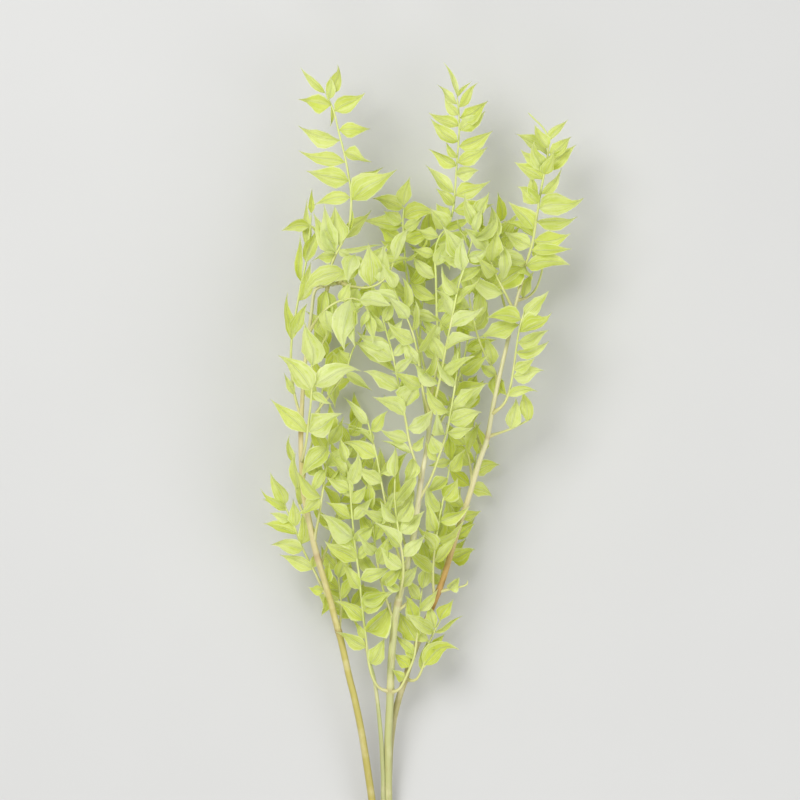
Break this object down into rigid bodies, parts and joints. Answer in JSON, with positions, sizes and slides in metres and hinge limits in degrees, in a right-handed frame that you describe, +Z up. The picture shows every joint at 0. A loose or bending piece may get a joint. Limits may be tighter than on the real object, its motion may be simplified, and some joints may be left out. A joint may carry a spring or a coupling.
{
  "type": "dried ruscus stem",
  "caption": "Dried, bleached ruscus: bare straw-coloured canes part from one cut end and carry lime leafy sprays with pointed leaves in two ranks. It lies on a flat surface.",
  "frame": {"origin": "on the surface it lies on, under the middle of the stem's box", "axes": "+Y along the stem from its cut end to its tips, +Z up from the surface, +X to the right of the picture"},
  "size_m": [0.2916, 0.758, 0.1176],
  "materials": {
    "dry_straw": "dry straw-coloured cane, smooth, low sheen",
    "lime_leaf": "thin dry leaf, bleached and dyed lime, matt"
  },
  "bodies": {
    "root": {"branched_cane": "dry_straw", "left_spray_1": "lime_leaf", "left_spray_10": "lime_leaf", "left_spray_11": "lime_leaf", "left_spray_12": "lime_leaf", "left_spray_13": "lime_leaf", "left_spray_14": "lime_leaf", "left_spray_15": "lime_leaf", "left_spray_2": "lime_leaf", "left_spray_3": "lime_leaf", "left_spray_4": "lime_leaf", "left_spray_5": "lime_leaf", "left_spray_6": "lime_leaf", "left_spray_7": "lime_leaf", "left_spray_8": "lime_leaf", "left_spray_9": "lime_leaf", "left_tip_spray": "lime_leaf", "main_spray_1": "lime_leaf", "main_spray_10": "lime_leaf", "main_spray_11": "lime_leaf", "main_spray_12": "lime_leaf", "main_spray_13": "lime_leaf", "main_spray_14": "lime_leaf", "main_spray_2": "lime_leaf", "main_spray_3": "lime_leaf", "main_spray_4": "lime_leaf", "main_spray_5": "lime_leaf", "main_spray_6": "lime_leaf", "main_spray_7": "lime_leaf", "main_spray_8": "lime_leaf", "main_spray_9": "lime_leaf", "main_tip_spray": "lime_leaf", "right_spray_1": "lime_leaf", "right_spray_10": "lime_leaf", "right_spray_11": "lime_leaf", "right_spray_12": "lime_leaf", "right_spray_13": "lime_leaf", "right_spray_2": "lime_leaf", "right_spray_3": "lime_leaf", "right_spray_4": "lime_leaf", "right_spray_5": "lime_leaf", "right_spray_6": "lime_leaf", "right_spray_7": "lime_leaf", "right_spray_8": "lime_leaf", "right_spray_9": "lime_leaf", "right_tip_spray": "lime_leaf", "second_tip_spray": "lime_leaf"}
  },
  "joints": []
}
